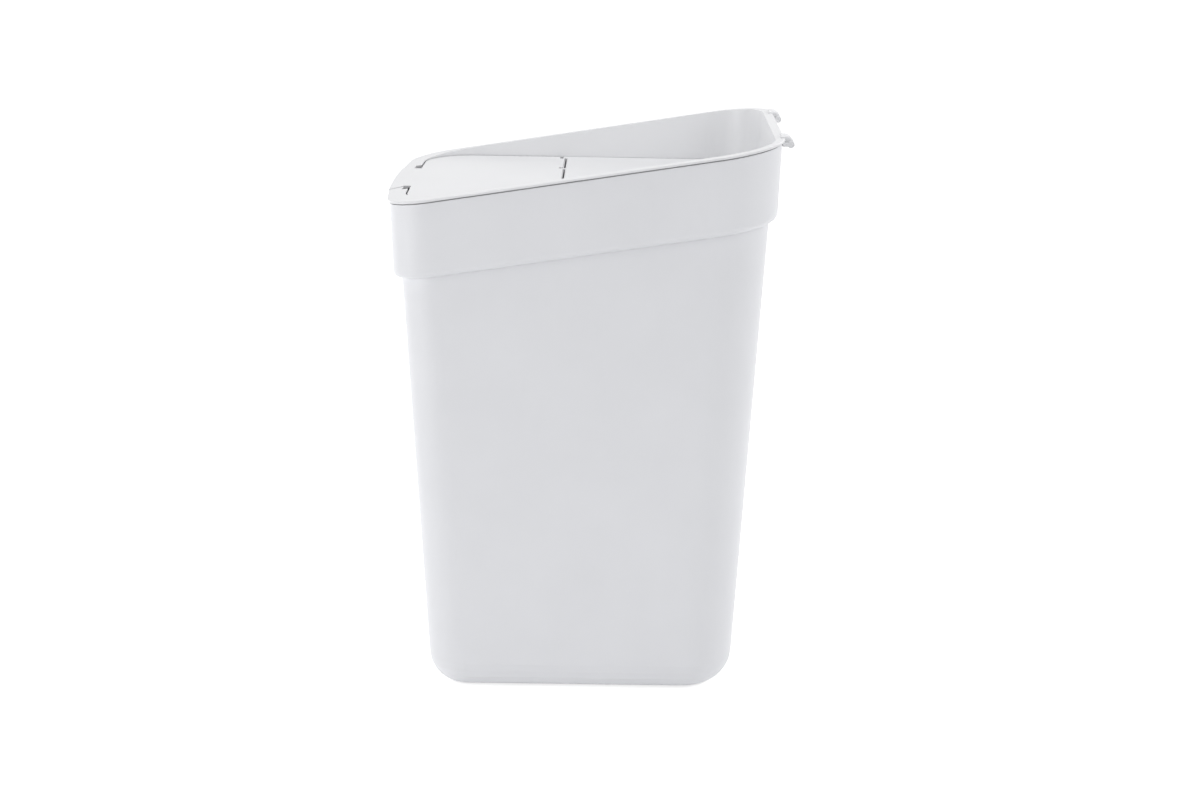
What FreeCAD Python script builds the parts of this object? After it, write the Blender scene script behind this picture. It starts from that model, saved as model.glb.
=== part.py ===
import FreeCAD, Part
import math
import os

import Sketcher
from FreeCAD import Placement, Rotation, Vector

# Free-standing or wall-hung waste bin: a tapered bucket with a stepped-out band,
# and a lid unit that lifts off it.  X is the width, Y the depth (front edge low,
# at -Y; hooks at +Y) and Z is up.  Millimetres and degrees.
#
# Everything hangs from the rim: the outline of the sloping flange, as seen in
# plan, drives the band, the bucket, the lid recess and the two lid halves.

SIZES = {
    # sloping rim flange, in plan
    "rim_length": 343.4,           # front to rear, on the centre line
    "rim_half_width": 138.2,       # centre plane to side edge, at mid length
    "side_splay": 0.45,            # degrees each side opens towards the rear
    "rim_front_corner": 40.0,
    "rim_rear_corner": 56.0,
    "front_bow": 1050.0,           # radius of the gently bowed front
    "front_height": 448.4,
    "rim_rise": 52.8,              # rear edge of the rim above its front edge
    "flange_thickness": 2.2,
    "flange_overhang": 2.0,        # flange edge outside the band below it
    "shadow_gap": 1.2,             # open line between the flange and the band
    "edge_break": 0.6,             # bevel round the flange's upper edge
    # bucket
    "wall": 2.2,
    "floor_thickness": 3.0,
    "band_margin": 15.7,           # band below the rim, over and above the rim's rise
    "band_step": 7.0,              # band outside the bucket wall
    "band_draft": 1.9,
    "band_round": 5.5,
    "front_draft": 2.97,
    "rear_draft": 3.25,
    "side_draft": 1.3,
    "body_front_corner": 34.0,
    "body_rear_corner": 45.0,
    "base_round": 28.0,
    "foot_width": 9.0,             # flat ring that the bin stands on
    "foot_corner": 8.0,
    "foot_recess": 1.2,
    # lid recess in the frame, at the level of the closed lid
    "lid_lead": 1.2,               # lid top at the hinge line, above the rim's front edge
    "lid_fall": 3.2,               # the closed lid falls this much, front to rear of the rim
    "side_ledge": 9.5,             # rim edge to recess wall
    "front_ledge": 18.4,
    "rear_ledge": 10.7,
    "recess_front_corner": 46.0,
    "recess_rear_corner": 46.0,
    "recess_bow": 5000.0,
    "recess_lean": 2.8,            # recess walls lean out this far over the rim's rise
    "frame_wall": 2.0,
    "skirt_depth": 5.6,            # frame wall below its seat ledge
    "seat_width": 4.0,             # ledge that both lid halves lie on
    "seat_thickness": 2.0,
    "rest_setback": 1.2,           # from the band's face to the frame's bearing strip
    "rib_thickness": 2.0,
    "rib_depth": 12.0,             # locating ribs below the flange
    "rib_clearance": 0.3,
    "side_rib_reach": 90.0,        # side ribs from mid length
    "front_rib_lead": 1.3,         # front ribs past the straight part of the recess's front
    "rear_rib_offset": 36.0,
    # lid halves
    "plate": 2.0,
    "panel_gap": 0.35,
    "flap_gap": 0.8,
    "flap_front_gap": 1.4,
    "stiffener": 1.6,
    "stiffener_depth": 4.0,
    "stiffener_corner": 10.0,
    "stiffener_offset": 44.0,
    "hinge_setoff": 8.0,           # hinge axis to the nearest stiffener
    "barb": 0.7,                   # catch below the seat ledge
    "barb_height": 1.2,
    "barb_length": 14.0,
    "side_barb_reach": 40.0,       # barbs either side of the panel's mid length
    # finger tab on the flap and its bay in the frame
    "tab_half_width": 49.5,
    "tab_front_half_width": 55.0,
    "tab_gap": 0.8,
    "tab_lift": 0.1,               # running gap under the tab
    "tab_proud": 0.3,
    "tongue_overlap": 8.0,         # tongue inside the flap's plate
    "tongue_block": 6.0,           # block that the tongue is cut from, above and below the lid
    "cut_margin": 1.0,             # a cut runs this far past what it cuts
    "bay_half_width": 63.0,
    "bay_depth": 5.0,              # bay in front of the recess
    "relief": 16.5,                # hole beside the flap's neck
    # hinge between the two lid halves
    "hinge_setback": 148.8,        # rim front to the hinge axis
    "hinge_drop": 3.0,             # lid top to the hinge axis
    "barrel_radius": 2.2,
    "rod_radius": 1.2,
    "rod_fit": 0.02,               # rod in the panel's lugs
    "rod_clearance": 0.06,         # rod in the flap's barrel
    "rod_chamfer": 0.3,
    "rod_end_gap": 0.2,            # rod's end to the blind end of its pocket
    "hinge_overhang": 1.3,         # flap's edge past the axis
    "hinge_gap": 3.45,             # axis to the rear panel's edge
    "panel_bevel": 1.0,            # bevel along the rear panel's edge at the slit
    "mid_notch_setback": 2.4,      # axis to the flap's edge beside a middle lug
    "end_notch_setback": 3.1,      # the same at an end lug
    "knuckle_gap": 0.5,
    "mid_lug_offset": 63.0,
    "mid_lug_width": 6.0,
    "end_lug_width": 5.6,
    "end_lug_gap": 0.8,            # end lug to the seat ledge
    "end_lug_cap": 0.7,            # blind end that holds the rod in
    "lug_root": 3.0,               # lug under the panel's edge
    # hanging hooks at the rear
    "hook_offset": 76.0,
    "hook_width": 22.6,
    "arch_width": 17.0,
    "hook_reach": 8.2,
    "hook_pin_radius": 3.0,
    "hook_pin_drop": 5.4,
    "arch_grip": 2.7,              # root of the hook, from its crown down into the flange
    "arch_rise": 1.8,              # crown of the arch above the rim
    "arch_inset": 0.2,             # arch inside the pin's rear face
    "arch_root": 4.0,              # hook on top of the flange
    "arch_bevel": 1.1,
    "web_thickness": 3.6,
    "web_clearance": 0.3,          # web to the band's rear face
}


class Size:
    """A number together with the sheet expression that gives it."""

    def __init__(self, number, text):
        self.number = number
        self.text = text

    def __add__(self, other):
        other = as_size(other)
        return Size(self.number + other.number, f"({self.text} + {other.text})")

    def __sub__(self, other):
        other = as_size(other)
        return Size(self.number - other.number, f"({self.text} - {other.text})")

    def __mul__(self, other):
        other = as_size(other)
        return Size(self.number * other.number, f"({self.text} * {other.text})")

    def __truediv__(self, other):
        other = as_size(other)
        return Size(self.number / other.number, f"({self.text} / {other.text})")

    def __neg__(self):
        return Size(-self.number, f"(-1 * ({self.text}))")


def as_size(value):
    return value if isinstance(value, Size) else Size(float(value), repr(float(value)))


def size(name):
    return Size(SIZES[name], f"sizes.{name}")


def tangent(angle):
    return Size(math.tan(math.radians(angle.number)), f"tan({angle.text})")


def make_sheet(doc):
    sheet = doc.addObject("Spreadsheet::Sheet", "sizes")
    for row, (name, value) in enumerate(SIZES.items(), start=1):
        sheet.set(f"A{row}", name)
        sheet.set(f"B{row}", str(value))
        sheet.setAlias(f"B{row}", name)
    doc.recompute()


class Outline:
    """Plan outline: bowed front, splayed sides, straight rear, four rounded corners."""

    def __init__(self, half_width, front, rear, front_corner, rear_corner, bow):
        self.half_width = as_size(half_width)
        self.front = as_size(front)
        self.rear = as_size(rear)
        self.front_corner = as_size(front_corner)
        self.rear_corner = as_size(rear_corner)
        self.bow = as_size(bow)

    def inset(self, amount):
        return Outline(self.half_width - amount, self.front + amount, self.rear - amount,
                       self.front_corner - amount, self.rear_corner - amount, self.bow - amount)

    def stretched(self, cosine):
        """The same outline drawn on the sloping rim plane."""
        return Outline(self.half_width, self.front / cosine, self.rear / cosine,
                       self.front_corner, self.rear_corner, self.bow)

    def geometry(self):
        splay = math.radians(SIZES["side_splay"])
        half_width, front, rear = self.half_width.number, self.front.number, self.rear.number
        front_r, rear_r, bow = self.front_corner.number, self.rear_corner.number, self.bow.number
        normal = Vector(math.cos(splay), -math.sin(splay), 0)
        along = Vector(math.sin(splay), math.cos(splay), 0)
        bow_centre = Vector(0, front + bow, 0)
        rear_y = rear - rear_r
        rear_centre = Vector((half_width - rear_r + normal.y * -rear_y) / normal.x, rear_y, 0)
        offset = normal * (half_width - front_r) - bow_centre
        reach = along.dot(offset)
        root = math.sqrt(reach ** 2 - offset.dot(offset) + (bow - front_r) ** 2)
        front_centre = bow_centre + offset + along * (-reach - root)
        to_corner = front_centre - bow_centre
        turn = math.atan2(to_corner.y, to_corner.x)
        up = Vector(0, 0, 1)

        def arc(centre, radius, start, end):
            return Part.ArcOfCircle(Part.Circle(centre, up, radius), start, end)

        def mirrored(point):
            return Vector(-point.x, point.y, 0)

        front_touch = front_centre + normal * front_r
        rear_touch = rear_centre + normal * rear_r
        rear_end = Vector(rear_centre.x, rear, 0)
        return [
            arc(bow_centre, bow, -math.pi - turn, turn),
            arc(front_centre, front_r, turn, -splay),
            Part.LineSegment(front_touch, rear_touch),
            arc(rear_centre, rear_r, -splay, math.pi / 2),
            Part.LineSegment(rear_end, mirrored(rear_end)),
            arc(mirrored(rear_centre), rear_r, math.pi / 2, math.pi + splay),
            Part.LineSegment(mirrored(rear_touch), mirrored(front_touch)),
            arc(mirrored(front_centre), front_r, math.pi + splay, math.pi - turn),
        ]


def origin_plane(body, role):
    return next(item for item in body.Origin.OriginFeatures if item.Role == role)


def new_sketch(body, name, role="XY_Plane", height=None, slope=None):
    """Empty sketch on one of the body's origin planes, raised and tilted if asked."""
    sketch = body.newObject("Sketcher::SketchObject", f"{body.Name}_{name}")
    sketch.AttachmentSupport = [(origin_plane(body, role), "")]
    sketch.MapMode = "FlatFace"
    rise = height.number if height else 0.0
    slope = slope or as_size(0)
    axis = Vector(1, 0, 0)
    if slope.number < 0:
        axis = -axis
        slope = -slope
    sketch.AttachmentOffset = Placement(Vector(0, 0, rise), Rotation(axis, slope.number))
    if height:
        sketch.setExpression(".AttachmentOffset.Base.z", height.text)
    if slope.number:
        sketch.setExpression(".AttachmentOffset.Rotation.Angle", slope.text)
    return sketch


def bind(sketch, constraint, value, name):
    """Adds a dimension and ties it to its expression."""
    index = sketch.addConstraint(constraint)
    sketch.renameConstraint(index, name)
    sketch.setExpression(f"Constraints.{name}", value.text)


def outline_sketch(body, name, outline, height=None, slope=None):
    sketch = new_sketch(body, name, height=height, slope=slope)
    sketch.addGeometry(outline.geometry(), False)
    for index in range(8):
        following = (index + 1) % 8
        sketch.addConstraint(Sketcher.Constraint("Tangent", index, 2, following, 1))
    sketch.addConstraint(Sketcher.Constraint("Horizontal", 4))
    sketch.addConstraint(Sketcher.Constraint("PointOnObject", 0, 3, -2))
    sketch.addConstraint(Sketcher.Constraint("Symmetric", 2, 2, 6, 1, -2))
    sketch.addConstraint(Sketcher.Constraint("Equal", 1, 7))
    sketch.addConstraint(Sketcher.Constraint("Equal", 3, 5))
    lean = Size(90 - SIZES["side_splay"], "(90 - sizes.side_splay) * 1deg")
    centre = outline.front + outline.bow
    bind(sketch, Sketcher.Constraint("Angle", 2, math.radians(lean.number)), lean, "side_angle")
    bind(sketch, Sketcher.Constraint("Distance", -1, 1, 2, outline.half_width.number),
         outline.half_width, "half_width")
    bind(sketch, Sketcher.Constraint("DistanceY", -1, 1, 4, 1, outline.rear.number),
         outline.rear, "rear")
    bind(sketch, Sketcher.Constraint("DistanceY", -1, 1, 0, 3, centre.number),
         centre, "bow_centre")
    bind(sketch, Sketcher.Constraint("Radius", 0, outline.bow.number), outline.bow, "bow")
    bind(sketch, Sketcher.Constraint("Radius", 1, outline.front_corner.number),
         outline.front_corner, "front_corner")
    bind(sketch, Sketcher.Constraint("Radius", 3, outline.rear_corner.number),
         outline.rear_corner, "rear_corner")
    return sketch


def profile_sketch(body, name, corners, arcs=None, role="XY_Plane", height=None, slope=None):
    """Closed profile through bound corner points; arcs maps an edge to (centre, radius)."""
    sketch = new_sketch(body, name, role, height, slope)
    arcs = arcs or {}
    count = len(corners)
    points = [Vector(x.number, y.number, 0) for x, y in corners]
    for index in range(count):
        start = points[index]
        end = points[(index + 1) % count]
        if index in arcs:
            centre, radius = arcs[index]
            middle = Vector(centre[0].number, centre[1].number, 0)
            outward = (start + end) * 0.5 - middle
            crown = middle + outward.normalize() * radius.number
            sketch.addGeometry(Part.Arc(start, crown, end), False)
        else:
            sketch.addGeometry(Part.LineSegment(start, end), False)
    ends = []
    for index in range(count):
        reversed_arc = index in arcs and arcs_run_backwards(sketch, index, points[index])
        ends.append((2, 1) if reversed_arc else (1, 2))
    for index in range(count):
        following = (index + 1) % count
        sketch.addConstraint(Sketcher.Constraint("Coincident", index, ends[index][1],
                                                 following, ends[following][0]))
    for index, (x, y) in enumerate(corners):
        corner = ends[index][0]
        bind(sketch, Sketcher.Constraint("DistanceX", -1, 1, index, corner, x.number), x, f"x{index}")
        bind(sketch, Sketcher.Constraint("DistanceY", -1, 1, index, corner, y.number), y, f"y{index}")
    for index, (_, radius) in arcs.items():
        bind(sketch, Sketcher.Constraint("Radius", index, radius.number), radius, f"radius{index}")
    return sketch


def arcs_run_backwards(sketch, index, start):
    """A sketched arc always runs anticlockwise, whichever way the profile goes."""
    return sketch.getPoint(index, 1).distanceToPoint(start) > 1e-6


def circle_sketch(body, name, centre, radius, role="YZ_Plane", height=None):
    sketch = new_sketch(body, name, role, height)
    middle = Vector(centre[0].number, centre[1].number, 0)
    sketch.addGeometry(Part.Circle(middle, Vector(0, 0, 1), radius.number), False)
    bind(sketch, Sketcher.Constraint("DistanceX", -1, 1, 0, 3, middle.x), centre[0], "x")
    bind(sketch, Sketcher.Constraint("DistanceY", -1, 1, 0, 3, middle.y), centre[1], "y")
    bind(sketch, Sketcher.Constraint("Radius", 0, radius.number), radius, "radius")
    return sketch


def rectangle(x0, x1, y0, y1):
    return [(x0, y0), (x1, y0), (x1, y1), (x0, y1)]


def extrude(body, kind, name, sketch, length, backwards=False, both_ways=False):
    feature = body.newObject(f"PartDesign::{kind}", f"{body.Name}_{name}")
    feature.Profile = sketch
    feature.Length = length.number
    feature.setExpression("Length", length.text)
    feature.Reversed = backwards
    if both_ways:
        feature.SideType = "Symmetric"
    return feature


def pad(body, name, sketch, length, backwards=False, both_ways=False):
    return extrude(body, "Pad", name, sketch, length, backwards, both_ways)


def pocket(body, name, sketch, length, backwards=False, both_ways=False):
    return extrude(body, "Pocket", name, sketch, length, backwards, both_ways)


def mirror_across_centre(body, name, features):
    feature = body.newObject("PartDesign::Mirrored", f"{body.Name}_{name}")
    feature.Originals = features
    feature.MirrorPlane = (origin_plane(body, "YZ_Plane"), [""])
    body.Tip = feature
    return feature


def dress(body, kind, name, base, wanted, radius):
    """Fillet or chamfer of the edges of base that the test wanted picks."""
    base.Document.recompute()
    names = [f"Edge{number}" for number, edge in enumerate(base.Shape.Edges, start=1) if wanted(edge)]
    if not names:
        raise RuntimeError(f"{name}: no edge found")
    feature = body.newObject(f"PartDesign::{kind}", f"{body.Name}_{name}")
    feature.Base = (base, names)
    target = "Radius" if kind == "Fillet" else "Size"
    setattr(feature, target, radius.number)
    feature.setExpression(target, radius.text)
    return feature


def samples(edge):
    return edge.discretize(5)


def loft(body, name, sections, additive=True):
    kind = "AdditiveLoft" if additive else "SubtractiveLoft"
    feature = body.newObject(f"PartDesign::{kind}", f"{body.Name}_{name}")
    feature.Profile = sections[0]
    feature.Sections = sections[1:]
    feature.Ruled = True
    return feature


# ---- shared geometry, all derived from the sheet ----

RIM_FRONT = -(size("rim_length") + size("hook_reach")) / 2
RIM_REAR = RIM_FRONT + size("rim_length")
RISE = size("rim_rise")
REAR_HEIGHT = size("front_height") + RISE
BAND_HEIGHT = RISE + size("band_margin")
LID_LEVEL = size("front_height") + size("lid_lead")
SLOPE = Size(math.degrees(math.atan((RISE / size("rim_length")).number)),
             f"atan({(RISE / size('rim_length')).text})")
COSINE = Size(math.cos(math.radians(SLOPE.number)), f"cos({SLOPE.text})")
ZERO = as_size(0)
HINGE_Y = RIM_FRONT + size("hinge_setback")
HINGE_Z = LID_LEVEL - size("hinge_drop")
FALL = size("lid_fall") / size("rim_length")
LID_SLOPE = Size(-math.degrees(math.atan(FALL.number)), f"(-1 * atan({FALL.text}))")
LID_COSINE = Size(math.cos(math.radians(LID_SLOPE.number)), f"cos({LID_SLOPE.text})")
SEAT_DROP = size("plate") + size("seat_thickness")
FRAME_DROP = SEAT_DROP + size("skirt_depth")
FAR = size("rim_half_width") * 2

RIM = Outline(size("rim_half_width"), RIM_FRONT, RIM_REAR,
              size("rim_front_corner"), size("rim_rear_corner"), size("front_bow"))
BAND_TOP = RIM.inset(size("flange_overhang"))
RECESS = Outline(size("rim_half_width") - size("side_ledge"), RIM_FRONT + size("front_ledge"),
                 RIM_REAR - size("rear_ledge"), size("recess_front_corner"),
                 size("recess_rear_corner"), size("recess_bow"))
FRONT_STRAIGHT = RECESS.half_width - RECESS.front_corner
BAY_FRONT = RECESS.front - size("bay_depth")


def rim_height(y, drop=ZERO):
    """Height of the sloping rim plane at y, or of a plane that lies drop below it."""
    return size("front_height") + RISE / size("rim_length") * (y - RIM_FRONT) - drop


def below_rim(thickness):
    """Vertical drop of a thickness measured square to the rim plane."""
    return thickness / COSINE


def lid_height(y, drop=ZERO):
    """Height of the closed lid's top at y, or of the plane that lies drop below it, square to it."""
    return LID_LEVEL - FALL * (y - HINGE_Y) - drop / LID_COSINE


def lid_sketch(body, name, outline, drop=ZERO):
    return outline_sketch(body, name, outline.stretched(LID_COSINE), lid_height(ZERO, drop), LID_SLOPE)


def lid_profile(body, name, corners, drop=ZERO, arcs=None):
    return profile_sketch(body, name, corners, arcs, height=lid_height(ZERO, drop), slope=LID_SLOPE)


def side_at(outline, y):
    """Half width of an outline's straight side at y."""
    return outline.half_width + tangent(size("side_splay")) * y


def rim_sketch(body, name, outline, drop=ZERO):
    return outline_sketch(body, name, outline.stretched(COSINE), rim_height(ZERO, drop), SLOPE)


def on_plane(edge, drop):
    """Whether an edge lies in the plane that is drop below the rim."""
    return all(abs(p.z - rim_height(as_size(p.y), drop).number) < TOUCH for p in samples(edge))


def near_outline(edge, outline):
    """Whether an edge runs round the outline itself, not round a smaller one inside it."""
    points = samples(edge)
    margin = (size("band_step") / 2).number
    return (max(abs(p.x) for p in points) > outline.half_width.number - margin
            or min(p.y for p in points) < outline.front.number + margin
            or max(p.y for p in points) > outline.rear.number - margin)


BAND_SHRINK = tangent(size("band_draft"))
ROUND_STEPS = 6
TOUCH = 0.02    # an edge this near a plane or a circle lies on it


def band_section(drop, inset=ZERO):
    """The band's outline on the plane drop below the rim; the band narrows downwards."""
    return BAND_TOP.inset(BAND_SHRINK * drop + inset)


def neck_section(inset=ZERO):
    """The bucket's outline where its walls leave the band's underside."""
    neck = band_section(BAND_HEIGHT, size("band_step") + inset)
    return Outline(neck.half_width, neck.front, neck.rear, size("body_front_corner") - inset,
                   size("body_rear_corner") - inset, size("front_bow") - inset)


def bucket_section(height, inset=ZERO):
    """The bucket's level section: its walls draft in from the neck to the base."""
    neck = neck_section(inset)
    front_neck = size("front_height") - BAND_HEIGHT
    rear_neck = REAR_HEIGHT - BAND_HEIGHT
    side_neck = (front_neck + rear_neck) / 2
    return Outline(neck.half_width + tangent(size("side_draft")) * (height - side_neck),
                   neck.front - tangent(size("front_draft")) * (height - front_neck),
                   neck.rear + tangent(size("rear_draft")) * (height - rear_neck),
                   neck.front_corner, neck.rear_corner, neck.bow)


def quarter_turn(radius, steps=ROUND_STEPS):
    """Steps round a quarter circle: how far each is up from its foot and in from its side."""
    for step in range(steps + 1):
        angle = f"{90 * step / steps}deg"
        turn = math.radians(90 * step / steps)
        up = radius * Size(1 - math.cos(turn), f"(1 - cos({angle}))")
        inward = radius * Size(1 - math.sin(turn), f"(1 - sin({angle}))")
        yield up, inward


def recess_section(drop, inset=ZERO):
    """The lid recess drop below the lid's top; its walls lean out towards the rim."""
    return RECESS.inset(inset + size("recess_lean") / RISE * drop)


# ---- bin body ----

def bucket_loft(body, name, foot, radius, inset, neck_drop, additive=True):
    """Rounded base and drafted walls up to the sloping neck, as one ruled loft."""
    sections = []
    for step, (up, inward) in enumerate(quarter_turn(radius)):
        height = foot + up
        outline = bucket_section(height, inset + inward)
        sections.append(outline_sketch(body, f"{name}_round_{step}", outline, height=height))
    sections.append(rim_sketch(body, f"{name}_neck", neck_section(inset), neck_drop))
    return loft(body, name, sections, additive)


def make_bin_body(doc):
    body = doc.addObject("PartDesign::Body", "bin_body")
    wall = size("wall")
    underside = BAND_HEIGHT
    shelf = underside - below_rim(wall)
    lip = size("band_round")

    bucket_loft(body, "bucket", ZERO, size("base_round"), ZERO, shelf)
    sections = []
    for step, (up, inward) in enumerate(quarter_turn(lip)):
        drop = underside - up
        sections.append(rim_sketch(body, f"lip_round_{step}", band_section(drop, inward), drop))
    band_high = below_rim(size("flange_thickness") + size("shadow_gap"))
    sections.append(rim_sketch(body, "band_rim", band_section(band_high), band_high))
    loft(body, "band", sections)
    hollow(body, wall, shelf)

    base = bucket_section(ZERO, size("base_round") + size("foot_width"))
    foot = Outline(base.half_width, base.front, base.rear,
                   size("foot_corner"), size("foot_corner"), size("front_bow"))
    pocket(body, "foot_hollow", outline_sketch(body, "foot_outline", foot),
           size("foot_recess"), backwards=True)
    return body


def hollow(body, wall, shelf):
    """The inside of the bucket, then the wider inside of the band above its shelf."""
    bucket_loft(body, "bucket_hollow", size("floor_thickness"), size("base_round") - wall, wall,
                shelf - wall, additive=False)
    loft(body, "band_hollow", [
        rim_sketch(body, "band_floor", band_section(shelf, wall), shelf),
        rim_sketch(body, "band_mouth", band_section(ZERO, wall))], additive=False)


# ---- rim frame with the two hanging hooks ----

def make_rim_frame(doc):
    body = doc.addObject("PartDesign::Body", "rim_frame")
    wall = size("frame_wall")
    rim_rise = lid_height(ZERO) - REAR_HEIGHT - size("plate")
    flange = size("flange_thickness")
    bay_height = REAR_HEIGHT - size("front_height") + FRAME_DROP * 2

    loft(body, "collar", [
        lid_sketch(body, "collar_bottom", recess_section(FRAME_DROP, -wall), FRAME_DROP),
        lid_sketch(body, "collar_top", recess_section(rim_rise, -wall), rim_rise)])
    bay_block = rectangle(-size("bay_half_width") - wall, size("bay_half_width") + wall,
                          BAY_FRONT - wall, RECESS.front + wall)
    pad(body, "bay_block", lid_profile(body, "bay_block_plan", bay_block, FRAME_DROP), bay_height)
    above_rim = profile_sketch(body, "above_rim", rectangle(-FAR, FAR, -FAR, FAR),
                               height=rim_height(ZERO), slope=SLOPE)
    pocket(body, "trim_collar", above_rim, bay_height * 2, backwards=True)
    pad(body, "flange", rim_sketch(body, "flange_plan", RIM), flange, backwards=True)
    pad(body, "bearing_strip",
        rim_sketch(body, "strip_plan", BAND_TOP.inset(size("rest_setback")), below_rim(flange)),
        size("shadow_gap"), backwards=True)
    add_locating_ribs(body)

    loft(body, "recess", [
        lid_sketch(body, "recess_floor", recess_section(size("plate")), size("plate")),
        lid_sketch(body, "recess_mouth", recess_section(rim_rise), rim_rise)], additive=False)
    loft(body, "below_seat", [
        lid_sketch(body, "skirt_foot", recess_section(FRAME_DROP), FRAME_DROP),
        lid_sketch(body, "seat_underside", recess_section(SEAT_DROP), SEAT_DROP)], additive=False)
    pocket(body, "opening",
           lid_sketch(body, "opening_plan",
                      recess_section(size("plate"), size("seat_width")), size("plate")),
           size("seat_thickness") * 2)
    slit = rectangle(-FRONT_STRAIGHT, FRONT_STRAIGHT,
                     RECESS.front, RECESS.front + size("seat_width") + wall)
    mouth = pocket(body, "slit", lid_profile(body, "slit_plan", slit, size("plate")),
                   size("seat_thickness") * 2)
    dress(body, "Chamfer", "rim_edge", mouth,
          lambda edge: on_plane(edge, ZERO) and near_outline(edge, RIM), size("edge_break"))

    bay = rectangle(-size("bay_half_width"), size("bay_half_width"),
                    BAY_FRONT, RECESS.front + size("seat_width") + wall)
    pocket(body, "bay", lid_profile(body, "bay_plan", bay, FRAME_DROP), bay_height, backwards=True)
    notch = profile_sketch(body, "notch_plan", tab_corners(RIM_FRONT - wall, BAY_FRONT, ZERO),
                           height=rim_height(ZERO, below_rim(flange)), slope=SLOPE)
    pocket(body, "tab_notch", notch, flange * 2, backwards=True)
    add_hooks(body)
    return body


def tab_corners(front, inner, gap):
    """Tapered outline of the finger tab; the notch round it has no gap."""
    taper = size("tab_front_half_width") - size("tab_half_width")
    spread = taper / (BAY_FRONT - RIM_FRONT)
    wide = size("tab_half_width") + spread * (BAY_FRONT - front) - gap
    narrow = size("tab_half_width") - gap
    return [(-wide, front), (wide, front), (narrow, inner), (-narrow, inner)]


def add_locating_ribs(body):
    """Ribs that centre the frame inside the bin's band."""
    half = size("rib_thickness") / 2
    low = size("flange_thickness") + size("shadow_gap") + size("rib_depth")
    face = band_section(low, size("wall") + size("rib_clearance"))
    collar = recess_section(ZERO, -size("frame_wall") / 2)
    height = size("rib_depth") + size("shadow_gap")

    def rib(name, corners, y):
        plan = profile_sketch(body, f"{name}_plan", corners, height=rim_height(y, low))
        return pad(body, name, plan, height)

    ribs = []
    for name, y in (("front_side_rib", -size("side_rib_reach")), ("rear_side_rib", size("side_rib_reach"))):
        ribs.append(rib(name, rectangle(side_at(collar, y), side_at(face, y), y - half, y + half), y))
    x = FRONT_STRAIGHT + size("front_rib_lead")
    front = face.front + x * x / face.bow / 2
    ribs.append(rib("front_rib", rectangle(x - half, x + half, front, collar.front), front))
    x = size("rear_rib_offset")
    ribs.append(rib("rear_rib", rectangle(x - half, x + half, collar.rear, face.rear), collar.rear))
    mirror_across_centre(body, "ribs_mirrored", ribs)


def add_hooks(body):
    """Two hooks with a solid arch; the pin and the web stand out at both sides of it."""
    pin = (RIM_REAR + size("hook_reach") - size("hook_pin_radius"),
           REAR_HEIGHT - size("hook_pin_drop"))
    offset = size("hook_offset")
    crown = REAR_HEIGHT + size("arch_rise")
    outer = crown - pin[1]
    centre = (RIM_REAR + size("hook_reach") - size("arch_inset") - outer, pin[1])
    root = centre[0] - size("arch_root")
    grip = crown - size("arch_grip")
    face = BAND_TOP.rear + size("web_clearance")
    arch_plan = profile_sketch(body, "hook_arch_plan", [
        (centre[0] + outer, pin[1]), (centre[0], crown), (root, crown), (root, grip),
        (face, grip), (face, pin[1])],
        arcs={0: (centre, outer)}, role="YZ_Plane", height=offset)
    hook_arch = pad(body, "hook_arch", arch_plan, size("arch_width"), both_ways=True)
    pin_plan = circle_sketch(body, "hook_pin_plan", pin, size("hook_pin_radius"), height=offset)
    hook_pin = pad(body, "hook_pin", pin_plan, size("hook_width"), both_ways=True)
    web_plan = profile_sketch(body, "hook_web_plan", rectangle(
        face, pin[0], pin[1] - size("web_thickness") / 2, pin[1] + size("web_thickness") / 2),
        role="YZ_Plane", height=offset)
    hook_web = pad(body, "hook_web", web_plan, size("hook_width"), both_ways=True)
    hooks = mirror_across_centre(body, "hooks_mirrored", [hook_arch, hook_pin, hook_web])

    def is_arch_edge(edge):
        """Whether an edge is the round outer edge of an arch, at either of its sides."""
        half = (size("arch_width") / 2).number
        for p in samples(edge):
            radius = math.hypot(p.y - centre[0].number, p.z - centre[1].number)
            if abs(abs(abs(p.x) - offset.number) - half) > TOUCH or abs(radius - outer.number) > TOUCH:
                return False
        return True

    dress(body, "Chamfer", "hook_edges", hooks, is_arch_edge, size("arch_bevel"))


# ---- hinge layout shared by the two lid halves and the rod ----

END_LUG_OUTER = side_at(RECESS, HINGE_Y) - size("seat_width") - size("end_lug_gap")
END_LUG_INNER = END_LUG_OUTER - size("end_lug_width")
BARREL_HALF = END_LUG_INNER - size("knuckle_gap")
ROD_POCKET_HALF = END_LUG_OUTER - size("end_lug_cap")
HINGE_CENTRE = (HINGE_Y, HINGE_Z)


def add_stiffener(body, outline):
    """Stiffening ring under a lid half, inside the seat ledge."""
    block = lid_sketch(body, "stiffener_outer", outline, size("plate"))
    pad(body, "stiffener_block", block, size("stiffener_depth"), backwards=True)
    core = lid_sketch(body, "stiffener_inner", outline.inset(size("stiffener")), size("plate"))
    pocket(body, "stiffener_core", core, size("stiffener_depth"))


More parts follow.
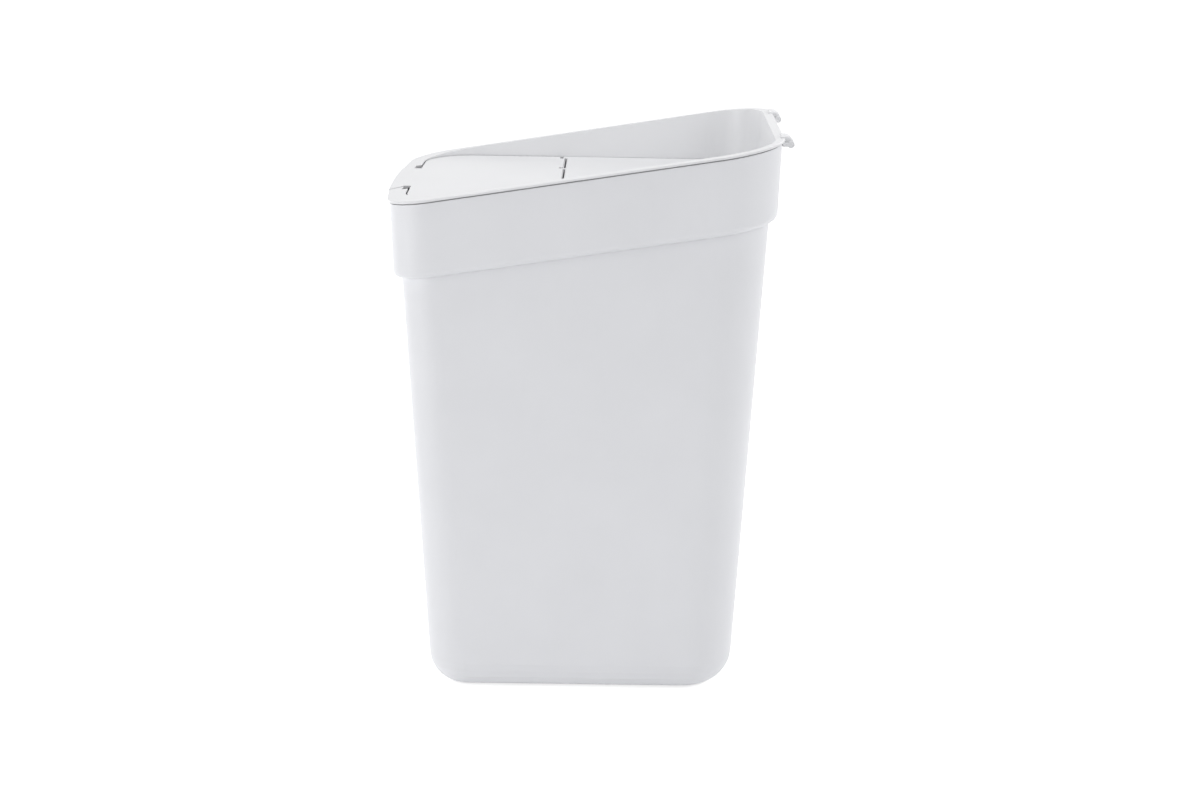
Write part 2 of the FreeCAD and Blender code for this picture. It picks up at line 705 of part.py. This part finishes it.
def make_rear_panel(doc):
    body = doc.addObject("PartDesign::Body", "rear_panel")
    plan = RECESS.inset(size("panel_gap"))
    inset = size("seat_width") + size("panel_gap")
    edge = HINGE_Y + size("hinge_gap")
    pad(body, "plate", lid_sketch(body, "plate_plan", plan), size("plate"), backwards=True)
    ahead = [(-FAR, -FAR), (FAR, -FAR), (FAR, HINGE_Y), (END_LUG_INNER, HINGE_Y),
             (END_LUG_INNER, edge), (-END_LUG_INNER, edge), (-END_LUG_INNER, HINGE_Y), (-FAR, HINGE_Y)]
    pocket(body, "trim_plate", lid_profile(body, "ahead_plan", ahead), size("plate") * 2)
    bevel = size("panel_bevel")
    top = lid_height(edge)
    bevel_plan = profile_sketch(body, "bevel_plan", [
        (edge, top - bevel), (edge + bevel, top), (edge + bevel, top + bevel),
        (edge - bevel, top + bevel), (edge - bevel, top - bevel)], role="YZ_Plane")
    pocket(body, "bevel", bevel_plan, END_LUG_INNER * 2, both_ways=True)

    rear = Outline(RECESS.half_width - inset, HINGE_Y + size("hinge_setoff"),
                   RECESS.rear - inset, size("stiffener_corner"),
                   size("recess_rear_corner") - inset, size("recess_bow"))
    add_stiffener(body, rear)
    add_barbs(body, rear)

    radius = size("barrel_radius")
    root = edge + size("lug_root")
    knuckles = []
    for name, inner, width in (
            ("mid_lug", size("mid_lug_offset") - size("mid_lug_width") / 2, size("mid_lug_width")),
            ("end_lug", END_LUG_INNER, size("end_lug_width"))):
        plan = profile_sketch(body, f"{name}_plan", [
            (HINGE_Y, HINGE_Z - radius), (root, HINGE_Z), (root, HINGE_Z + radius),
            (HINGE_Y, HINGE_Z + radius), (HINGE_Y - radius, HINGE_Z)],
            arcs={3: (HINGE_CENTRE, radius), 4: (HINGE_CENTRE, radius)},
            role="YZ_Plane", height=inner)
        knuckles.append(pad(body, name, plan, width))
    mirror_across_centre(body, "lugs_mirrored", knuckles)
    bore = circle_sketch(body, "rod_pocket_plan", HINGE_CENTRE, size("rod_radius") + size("rod_fit"))
    pocket(body, "rod_pocket", bore, ROD_POCKET_HALF * 2, both_ways=True)
    return body


def add_barbs(body, ring):
    """Catches on the panel's stiffener that hold it down under the seat ledge."""
    drop = SEAT_DROP + size("tab_lift")
    root = size("stiffener") / 2
    reach = size("panel_gap") + size("barb")
    half = size("barb_length") / 2
    middle = (ring.front + ring.rear) / 2
    barbs = []
    for name, y in (("front_side_barb", middle - size("side_barb_reach")),
                    ("rear_side_barb", middle + size("side_barb_reach"))):
        x = side_at(ring, y)
        plan = lid_profile(body, f"{name}_plan", rectangle(x - root, x + reach, y - half, y + half), drop)
        barbs.append(pad(body, name, plan, size("barb_height"), backwards=True))
    x = size("side_barb_reach")
    plan = lid_profile(body, "rear_barb_plan",
                       rectangle(x - half, x + half, ring.rear - root, ring.rear + reach), drop)
    barbs.append(pad(body, "rear_barb", plan, size("barb_height"), backwards=True))
    mirror_across_centre(body, "barbs_mirrored", barbs)


def make_front_flap(doc):
    body = doc.addObject("PartDesign::Body", "front_flap")
    plate = size("plate")
    add_tongue(body)
    plan = Outline(RECESS.half_width - size("flap_gap"), RECESS.front + size("flap_front_gap"),
                   RECESS.rear, size("recess_front_corner") - size("flap_gap"),
                   size("recess_rear_corner"), size("recess_bow"))
    pad(body, "plate", lid_sketch(body, "plate_plan", plan), plate, backwards=True)
    behind = rectangle(-FAR, FAR, HINGE_Y + size("hinge_overhang"), FAR)
    pocket(body, "trim_plate", lid_profile(body, "behind_plan", behind), plate * 2)

    inset = size("seat_width") + size("flap_gap")
    ring = Outline(RECESS.half_width - inset, RECESS.front + size("seat_width") + size("flap_front_gap"),
                   HINGE_Y - size("hinge_setoff"), size("recess_front_corner") - inset,
                   size("stiffener_corner"), size("recess_bow"))
    add_stiffener(body, ring)
    x = size("stiffener_offset")
    half = size("stiffener") / 2
    rib_plan = lid_profile(body, "rib_plan", rectangle(x - half, x + half, ring.front + half,
                                                       ring.rear - half), plate)
    rib = pad(body, "rib", rib_plan, size("stiffener_depth"), backwards=True)
    mirror_across_centre(body, "rib_mirrored", [rib])

    barrel_plan = circle_sketch(body, "barrel_plan", HINGE_CENTRE, size("barrel_radius"))
    pad(body, "barrel", barrel_plan, BARREL_HALF * 2, both_ways=True)
    past = HINGE_Y + size("barrel_radius") * 2
    depth = size("hinge_drop") * 2
    centre = size("mid_lug_offset")
    half = size("mid_lug_width") / 2 + size("knuckle_gap")
    mid_plan = rectangle(centre - half, centre + half, HINGE_Y - size("mid_notch_setback"), past)
    mid = pocket(body, "mid_notch", lid_profile(body, "mid_notch_plan", mid_plan), depth)
    end_plan = rectangle(BARREL_HALF, FAR, HINGE_Y - size("end_notch_setback"), past)
    end = pocket(body, "end_notch", lid_profile(body, "end_notch_plan", end_plan), depth)
    mirror_across_centre(body, "notches_mirrored", [mid, end])
    bore = circle_sketch(body, "bore_plan", HINGE_CENTRE, size("rod_radius") + size("rod_clearance"))
    pocket(body, "bore", bore, FAR, both_ways=True)
    return body


def add_tongue(body):
    """Neck and finger tab: in plan a tapered tab, from the side bent along a crease."""
    rise = RISE / size("rim_length")
    proud = below_rim(size("tab_proud"))
    crease = (LID_LEVEL + FALL * HINGE_Y - size("front_height") - proud
              + rise * RIM_FRONT) / (rise + FALL)
    inner = RECESS.front + size("tongue_overlap")
    ahead = RIM_FRONT - size("wall")
    bottom = below_rim(size("flange_thickness") - size("tab_lift"))
    low = lid_height(inner, size("tongue_block"))
    high = lid_height(inner, -size("tongue_block"))
    margin = size("cut_margin")
    past = inner + margin

    front_half = size("tab_front_half_width") - size("tab_gap")
    front = RIM_FRONT + front_half * front_half / size("front_bow") / 2
    tab = tab_corners(front, BAY_FRONT, size("tab_gap"))
    neck = size("bay_half_width") - size("relief")
    corners = [(-front_half, front), (front_half, front), tab[2], (neck, BAY_FRONT),
               (neck, inner), (-neck, inner), (-neck, BAY_FRONT), tab[3]]
    bow = size("front_bow")
    plan = profile_sketch(body, "tongue_plan", corners,
                          arcs={0: ((ZERO, RIM_FRONT + bow), bow)}, height=low)
    pad(body, "tongue", plan, high - low)
    over = [(past, lid_height(past)), (crease, lid_height(crease)),
            (ahead, rim_height(ahead) + proud), (ahead, high + margin), (past, high + margin)]
    over_plan = profile_sketch(body, "over_tongue", over, role="YZ_Plane")
    pocket(body, "shape_top", over_plan, FAR, both_ways=True)
    under = [(past, low - margin), (ahead, low - margin), (ahead, rim_height(ahead, bottom)),
             (BAY_FRONT, rim_height(BAY_FRONT, bottom)), (inner, lid_height(inner, size("plate"))),
             (past, lid_height(inner, size("plate")))]
    under_plan = profile_sketch(body, "under_tongue", under, role="YZ_Plane")
    pocket(body, "shape_bottom", under_plan, FAR, both_ways=True)


def make_hinge_rod(doc):
    body = doc.addObject("PartDesign::Body", "hinge_rod")
    plan = circle_sketch(body, "rod_plan", HINGE_CENTRE, size("rod_radius"))
    length = (ROD_POCKET_HALF - size("rod_end_gap")) * 2
    rod = pad(body, "rod", plan, length, both_ways=True)
    dress(body, "Chamfer", "rod_ends", rod, lambda edge: len(edge.Vertexes) == 1, size("rod_chamfer"))
    return body


# ---- build, check and export ----

doc = FreeCAD.newDocument("waste_bin")
make_sheet(doc)
bodies = [make(doc) for make in (make_bin_body, make_rim_frame, make_rear_panel,
                                 make_front_flap, make_hinge_rod)]
doc.recompute()
for item in doc.Objects:
    if "Invalid" in item.State or "Error" in item.State:
        raise RuntimeError(f"{item.Name} did not build: {item.State}")
os.makedirs("parts", exist_ok=True)
for body in bodies:
    body.Label = body.Name
    if body.Shape.isNull() or not body.Shape.isValid() or len(body.Shape.Solids) != 1:
        raise RuntimeError(f"{body.Label} is not one valid solid")
    body.Shape.exportStep(f"parts/{body.Label}.step")
    print(body.Label, round(body.Shape.Volume), body.Shape.BoundBox)
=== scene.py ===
"""Looks of a household waste bin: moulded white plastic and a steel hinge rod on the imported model."""

import math

import bpy
from mathutils import Matrix, Vector


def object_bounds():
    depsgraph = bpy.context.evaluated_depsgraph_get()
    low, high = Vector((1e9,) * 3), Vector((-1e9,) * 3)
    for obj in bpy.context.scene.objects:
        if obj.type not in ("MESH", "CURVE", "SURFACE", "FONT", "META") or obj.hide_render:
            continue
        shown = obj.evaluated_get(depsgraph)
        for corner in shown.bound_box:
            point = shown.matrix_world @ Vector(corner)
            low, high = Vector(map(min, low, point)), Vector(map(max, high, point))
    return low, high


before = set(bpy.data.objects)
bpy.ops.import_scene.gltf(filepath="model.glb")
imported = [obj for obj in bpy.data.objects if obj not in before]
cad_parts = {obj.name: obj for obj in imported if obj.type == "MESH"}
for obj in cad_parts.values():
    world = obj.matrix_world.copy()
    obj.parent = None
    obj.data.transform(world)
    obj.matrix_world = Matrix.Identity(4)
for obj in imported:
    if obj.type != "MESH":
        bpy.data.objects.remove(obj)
CAD_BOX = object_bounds()

# Lengths are in metres, angles in degrees and noise scales in patches per metre.

PLASTIC_NODES = {"bin_body": "body", "rim_frame": "lid", "rear_panel": "lid", "front_flap": "lid"}
STEEL_NODES = ("hinge_rod",)

# The range of a noise texture's values that is drawn out to full contrast.
CLEAR_PATCHES = (0.35, 0.65)
FADING_PATCHES = (0.3, 0.7)
RARE_PATCHES = (0.62, 0.78)

# Plastic: colour patches, spark grain, sink marks and upright scuff marks.
MOTTLING_SCALE = 14.0
GRAIN_SCALE = 1400.0
GRAIN_GLOSS = (-0.03, 0.03)     # how far the grain moves the roughness
GRAIN_STRENGTH = 0.5
SINK_SCALE = 9.0
SINK_DEPTH = 0.0004
SINK_STRENGTH = 0.25
SCUFF_SCALE = 220.0
SCUFF_STRETCH = (1.0, 1.0, 0.12)
SCUFF_SHARE = 0.35
SCUFF_SHADE = 0.97
SCUFF_DULLING = 0.15
PLASTIC_IOR = 1.49

# Plastic: edges rubbed lighter and smoother by hands and bags.
EDGE_SAMPLES = 6
EDGE_TURN = (0.995, 0.8)        # cosine of the normal's turn where wear begins and where it is full
EDGE_WEAR = 0.6
EDGE_TINT = 1.03
EDGE_POLISH = 0.06

# Plastic: painted shade in tight gaps, a darker colour where little is open round a point.
# The settings below control where painted shade goes into the colour and how dark it is.
GAP_SAMPLES = 8
GAP_REACH = 0.005
GAP_FULL = 0.15                 # open share of a point's surroundings at which the shade is full
PAINTED_SHADE_SHARE = 0.9
PAINTED_SHADE_COLOUR = (0.10, 0.10, 0.105)
LEVEL_FACES = (0.5, 0.8)        # size of the normal's Z where a face turns from upright to level

# Steel: drawing lines along the rod and uneven polish.
LINE_SCALE = 3000.0
LINE_STRETCH = (0.02, 1.0, 1.0)
LINE_DEPTH = 0.00002
LINE_STRENGTH = 0.4
LINE_GLOSS = (0.22, 0.38)
STAIN_SCALE = 60.0
STEEL_COLOURS = ((0.50, 0.50, 0.51), (0.62, 0.62, 0.63))

# Floor: white paper, just below the foot so that the two faces don't meet.
FLOOR_HALF = 12.0
FLOOR_DROP = 0.0002
FLOOR_LIFT = 0.72               # white added for rays that see the floor directly
PAPER_SCALE = 40.0
PAPER_COLOURS = ((0.95, 0.95, 0.955), (0.97, 0.97, 0.975))

# Softboxes: the middle of each, the side of its square and its power in watts.
SOFTBOXES = {
    "front_softbox": ((0.9, -1.8, 0.5), 1.0, 12.2),
    "rear_softbox": ((0.9, 1.7, 1.5), 1.4, 14.5),
    "far_front_softbox": ((-1.5, -1.4, 0.6), 1.0, 6.0),
    "far_rear_softbox": ((-1.5, 1.4, 1.3), 1.4, 7.0),
    "top_softbox": ((0.0, -0.1, 2.3), 1.2, 14.0),
}
WORLD_COLOUR = (0.98, 0.985, 1.0)
WORLD_STRENGTH = 0.42
WHITE = (1.0, 1.0, 1.0)

# Camera: the point that it faces, its place round that point, and its lens in millimetres.
CAMERA_TARGET = Vector((0.0, 0.0108, 0.2434))
CAMERA_DISTANCE = 1.869
CAMERA_AZIMUTH = 90.56          # at 0 it looks along +Y, and at 90 along -X
CAMERA_ELEVATION = 15.95
CAMERA_ROLL = 0.38
CAMERA_LENS = 60.44

# The places of a Mix node's colour sockets, whose names its number sockets have too.
MIX_COLOURS = (6, 7)
MIX_RESULT = 2


# ---- shader building blocks -------------------------------------------------------------------

def new_material(name):
    """An empty node material, with its Principled shader already on the output."""
    material = bpy.data.materials.new(name)
    material.use_nodes = True
    tree = material.node_tree
    tree.nodes.clear()
    output = tree.nodes.new("ShaderNodeOutputMaterial")
    shader = tree.nodes.new("ShaderNodeBsdfPrincipled")
    tree.links.new(shader.outputs["BSDF"], output.inputs["Surface"])
    return material, tree, shader


def noise(tree, vector, scale, detail=2.0, roughness=0.5):
    """A noise texture's value."""
    node = tree.nodes.new("ShaderNodeTexNoise")
    node.inputs["Scale"].default_value = scale
    node.inputs["Detail"].default_value = detail
    node.inputs["Roughness"].default_value = roughness
    tree.links.new(vector, node.inputs["Vector"])
    return node.outputs["Fac"]


def spread(tree, value, from_range, to_range=(0.0, 1.0)):
    """A value moved from one range to another and held inside it."""
    node = tree.nodes.new("ShaderNodeMapRange")
    node.inputs["From Min"].default_value = from_range[0]
    node.inputs["From Max"].default_value = from_range[1]
    node.inputs["To Min"].default_value = to_range[0]
    node.inputs["To Max"].default_value = to_range[1]
    tree.links.new(value, node.inputs["Value"])
    return node.outputs["Result"]


def combine(tree, operation, first, second=0.0):
    """The result of a Math node; either value may be a plain number."""
    node = tree.nodes.new("ShaderNodeMath")
    node.operation = operation
    for socket, value in zip(node.inputs, (first, second)):
        if isinstance(value, (int, float)):
            socket.default_value = value
        else:
            tree.links.new(value, socket)
    return node.outputs["Value"]


def blend_colours(tree, factor, low, high):
    """A colour between two others; each is a colour or an earlier result."""
    node = tree.nodes.new("ShaderNodeMix")
    node.data_type = "RGBA"
    tree.links.new(factor, node.inputs["Factor"])
    for place, colour in zip(MIX_COLOURS, (low, high)):
        if isinstance(colour, tuple):
            node.inputs[place].default_value = (*colour, 1.0)
        else:
            tree.links.new(colour, node.inputs[place])
    return node.outputs[MIX_RESULT]


def bump(tree, height, distance, strength, normal=None):
    """Small relief from a height value; distance is its full depth."""
    node = tree.nodes.new("ShaderNodeBump")
    node.inputs["Distance"].default_value = distance
    node.inputs["Strength"].default_value = strength
    tree.links.new(height, node.inputs["Height"])
    if normal is not None:
        tree.links.new(normal, node.inputs["Normal"])
    return node.outputs["Normal"]


def object_coordinates(tree, stretch=(1.0, 1.0, 1.0)):
    """The piece's own coordinates; a pattern is drawn out along an axis where stretch is below 1."""
    coordinates = tree.nodes.new("ShaderNodeTexCoord").outputs["Object"]
    mapping = tree.nodes.new("ShaderNodeMapping")
    mapping.inputs["Scale"].default_value = stretch
    tree.links.new(coordinates, mapping.inputs["Vector"])
    return mapping.outputs["Vector"]


def surface_normal(tree):
    """The normal of the mesh itself, before any relief."""
    return tree.nodes.new("ShaderNodeNewGeometry").outputs["Normal"]


def rounded_edges(tree, radius):
    """The normal turned smoothly over sharp edges, and from 0 to 1 how near an edge a point is."""
    bevel = tree.nodes.new("ShaderNodeBevel")
    bevel.samples = EDGE_SAMPLES
    bevel.inputs["Radius"].default_value = radius
    dot = tree.nodes.new("ShaderNodeVectorMath")
    dot.operation = "DOT_PRODUCT"
    tree.links.new(bevel.outputs["Normal"], dot.inputs[0])
    tree.links.new(surface_normal(tree), dot.inputs[1])
    return bevel.outputs["Normal"], spread(tree, dot.outputs["Value"], EDGE_TURN)


def painted_gap_shade(tree, onset, ledges):
    """How deep in a tight gap a point lies, from 0 in the open to 1; this is the mask of the painted shade.

    The shade begins where the open share of the point's surroundings falls to the onset.
    Upright faces always count, and level ones only with ledges.
    """
    occlusion = tree.nodes.new("ShaderNodeAmbientOcclusion")
    occlusion.samples = GAP_SAMPLES
    occlusion.inputs["Distance"].default_value = GAP_REACH
    depth = spread(tree, occlusion.outputs["AO"], (GAP_FULL, onset), (1.0, 0.0))
    if ledges:
        return depth
    parts = tree.nodes.new("ShaderNodeSeparateXYZ")
    tree.links.new(surface_normal(tree), parts.inputs["Vector"])
    level = combine(tree, "ABSOLUTE", parts.outputs["Z"])
    return combine(tree, "MULTIPLY", depth, spread(tree, level, LEVEL_FACES, (1.0, 0.0)))


# ---- materials --------------------------------------------------------------------------------

def moulded_plastic(name, colour, shade, roughness, grain_depth, edge_radius, shade_onset, ledges):
    """Satin moulded polypropylene, mottled between its colour and its shade.

    It has fine spark grain, slow sink marks, faint scuffs, rubbed edges and painted shade in tight gaps.
    """
    material, tree, shader = new_material(name)
    place = object_coordinates(tree)
    mottling = noise(tree, place, MOTTLING_SCALE, detail=3.0)
    grain = noise(tree, place, GRAIN_SCALE, detail=2.0, roughness=0.6)
    sinks = noise(tree, place, SINK_SCALE, detail=1.0)
    drawn_out = object_coordinates(tree, SCUFF_STRETCH)
    scuffs = noise(tree, drawn_out, SCUFF_SCALE, detail=4.0, roughness=0.7)
    edge_normal, edge = rounded_edges(tree, edge_radius)

    worn = combine(tree, "MULTIPLY", edge, EDGE_WEAR)
    rubbed = tuple(min(1.0, channel * EDGE_TINT) for channel in colour)
    scuffed = combine(tree, "MULTIPLY", spread(tree, scuffs, RARE_PATCHES), SCUFF_SHARE)
    dull = tuple(channel * SCUFF_SHADE for channel in shade)
    # Painted shade: the colour is darkened towards a dark grey in tight gaps, where shade falls.
    painted_shade = combine(tree, "MULTIPLY", painted_gap_shade(tree, shade_onset, ledges), PAINTED_SHADE_SHARE)
    base = blend_colours(tree, spread(tree, mottling, CLEAR_PATCHES), shade, colour)
    for amount, other in ((worn, rubbed), (scuffed, dull), (painted_shade, PAINTED_SHADE_COLOUR)):
        base = blend_colours(tree, amount, base, other)
    tree.links.new(base, shader.inputs["Base Color"])

    gloss = combine(tree, "ADD", spread(tree, grain, FADING_PATCHES, GRAIN_GLOSS), roughness)
    gloss = combine(tree, "SUBTRACT", gloss, combine(tree, "MULTIPLY", edge, EDGE_POLISH))
    gloss = combine(tree, "ADD", gloss, combine(tree, "MULTIPLY", scuffed, SCUFF_DULLING))
    tree.links.new(gloss, shader.inputs["Roughness"])

    relief = bump(tree, sinks, SINK_DEPTH, SINK_STRENGTH, edge_normal)
    relief = bump(tree, grain, grain_depth, GRAIN_STRENGTH, relief)
    tree.links.new(relief, shader.inputs["Normal"])
    shader.inputs["IOR"].default_value = PLASTIC_IOR
    return material


def drawn_steel(name):
    """Bright drawn wire: fine lines along the rod and a slightly uneven polish."""
    material, tree, shader = new_material(name)
    lines = noise(tree, object_coordinates(tree, LINE_STRETCH), LINE_SCALE, detail=2.0)
    stains = noise(tree, object_coordinates(tree), STAIN_SCALE, detail=3.0)
    base = blend_colours(tree, spread(tree, stains, CLEAR_PATCHES), *STEEL_COLOURS)
    tree.links.new(base, shader.inputs["Base Color"])
    tree.links.new(spread(tree, lines, FADING_PATCHES, LINE_GLOSS), shader.inputs["Roughness"])
    tree.links.new(bump(tree, lines, LINE_DEPTH, LINE_STRENGTH), shader.inputs["Normal"])
    shader.inputs["Metallic"].default_value = 1.0
    return material


PLASTICS = {
    "body": moulded_plastic("white_body_plastic", (0.80, 0.805, 0.825), (0.785, 0.79, 0.81), roughness=0.42,
                            grain_depth=0.00006, edge_radius=0.0008, shade_onset=0.6, ledges=True),
    "lid": moulded_plastic("white_lid_plastic", (0.81, 0.813, 0.825), (0.795, 0.798, 0.81), roughness=0.36,
                           grain_depth=0.00004, edge_radius=0.0006, shade_onset=0.42, ledges=False),
}
STEEL = drawn_steel("drawn_steel")


def dress_node(node, material):
    """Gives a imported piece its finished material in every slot."""
    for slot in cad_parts[node].material_slots:
        slot.material = material


for node, kind in PLASTIC_NODES.items():
    dress_node(node, PLASTICS[kind])
for node in STEEL_NODES:
    dress_node(node, STEEL)


# ---- world, floor, lamps and camera -----------------------------------------------------------

def add_object(name, data):
    """A new object in the scene, at the origin."""
    added = bpy.data.objects.new(name, data)
    bpy.context.scene.collection.objects.link(added)
    return added


def seen_directly(tree):
    """1 for camera, mirror and glass rays, which see the white studio; 0 for rays that only light."""
    path = tree.nodes.new("ShaderNodeLightPath")
    either = combine(tree, "MAXIMUM", path.outputs["Is Camera Ray"], path.outputs["Is Glossy Ray"])
    return combine(tree, "MAXIMUM", either, path.outputs["Is Transmission Ray"])


def make_world():
    """A white studio to look at, which lights the object evenly in its own colour and strength."""
    world = bpy.data.worlds.new("studio")
    bpy.context.scene.world = world
    world.use_nodes = True
    tree = world.node_tree
    tree.nodes.clear()
    output = tree.nodes.new("ShaderNodeOutputWorld")
    background = tree.nodes.new("ShaderNodeBackground")
    seen = seen_directly(tree)
    tree.links.new(blend_colours(tree, seen, WORLD_COLOUR, WHITE), background.inputs["Color"])
    tree.links.new(spread(tree, seen, (0.0, 1.0), (WORLD_STRENGTH, 1.0)), background.inputs["Strength"])
    tree.links.new(background.outputs["Background"], output.inputs["Surface"])


def floor_paper():
    """White paper that keeps the object's shadow, lifted to white for rays that see it directly."""
    material = bpy.data.materials.new("white_floor")
    material.use_nodes = True
    tree = material.node_tree
    tree.nodes.clear()
    output = tree.nodes.new("ShaderNodeOutputMaterial")
    diffuse = tree.nodes.new("ShaderNodeBsdfDiffuse")
    paper = spread(tree, noise(tree, object_coordinates(tree), PAPER_SCALE), FADING_PATCHES)
    tree.links.new(blend_colours(tree, paper, *PAPER_COLOURS), diffuse.inputs["Color"])
    glow = tree.nodes.new("ShaderNodeEmission")
    lift = spread(tree, seen_directly(tree), (0.0, 1.0), (0.0, FLOOR_LIFT))
    tree.links.new(lift, glow.inputs["Strength"])
    both = tree.nodes.new("ShaderNodeAddShader")
    tree.links.new(diffuse.outputs["BSDF"], both.inputs[0])
    tree.links.new(glow.outputs["Emission"], both.inputs[1])
    tree.links.new(both.outputs["Shader"], output.inputs["Surface"])
    return material


def make_floor():
    """A wide square floor under the object."""
    mesh = bpy.data.meshes.new("floor")
    signs = ((-1, -1), (1, -1), (1, 1), (-1, 1))
    corners = [(x * FLOOR_HALF, y * FLOOR_HALF, 0.0) for x, y in signs]
    mesh.from_pydata(corners, [], [(0, 1, 2, 3)])
    mesh.materials.append(floor_paper())
    floor = add_object("floor", mesh)
    floor.location.z = -FLOOR_DROP


def make_softbox(name, place, side, power):
    """A square softbox that faces the middle of the object."""
    data = bpy.data.lights.new(name, "AREA")
    data.shape = "SQUARE"
    data.size = side
    data.energy = power
    lamp = add_object(name, data)
    lamp.location = place
    middle = (CAD_BOX[0] + CAD_BOX[1]) / 2
    lamp.rotation_mode = "QUATERNION"
    lamp.rotation_quaternion = (middle - Vector(place)).to_track_quat("-Z", "Y")


def make_camera():
    """A camera at its azimuth and elevation round the target, rolled about its line of sight."""
    azimuth, elevation, roll = map(math.radians, (CAMERA_AZIMUTH, CAMERA_ELEVATION, CAMERA_ROLL))
    back = Vector((math.sin(azimuth) * math.cos(elevation),
                   -math.cos(azimuth) * math.cos(elevation),
                   math.sin(elevation)))
    right = Vector((0.0, 0.0, 1.0)).cross(back).normalized()
    up = back.cross(right)
    rolled_right = right * math.cos(roll) + up * math.sin(roll)
    rolled_up = up * math.cos(roll) - right * math.sin(roll)
    turn = Matrix((rolled_right, rolled_up, back)).transposed()
    data = bpy.data.cameras.new("camera")
    data.sensor_width = 36.0
    data.lens = CAMERA_LENS
    data.clip_start = 0.05
    data.clip_end = 50.0
    camera = add_object("camera", data)
    camera.matrix_world = Matrix.Translation(CAMERA_TARGET + back * CAMERA_DISTANCE) @ turn.to_4x4()
    bpy.context.scene.camera = camera


make_world()
make_floor()
for name, (place, side, power) in SOFTBOXES.items():
    make_softbox(name, place, side, power)
make_camera()
bpy.context.scene.view_settings.view_transform = "Standard"
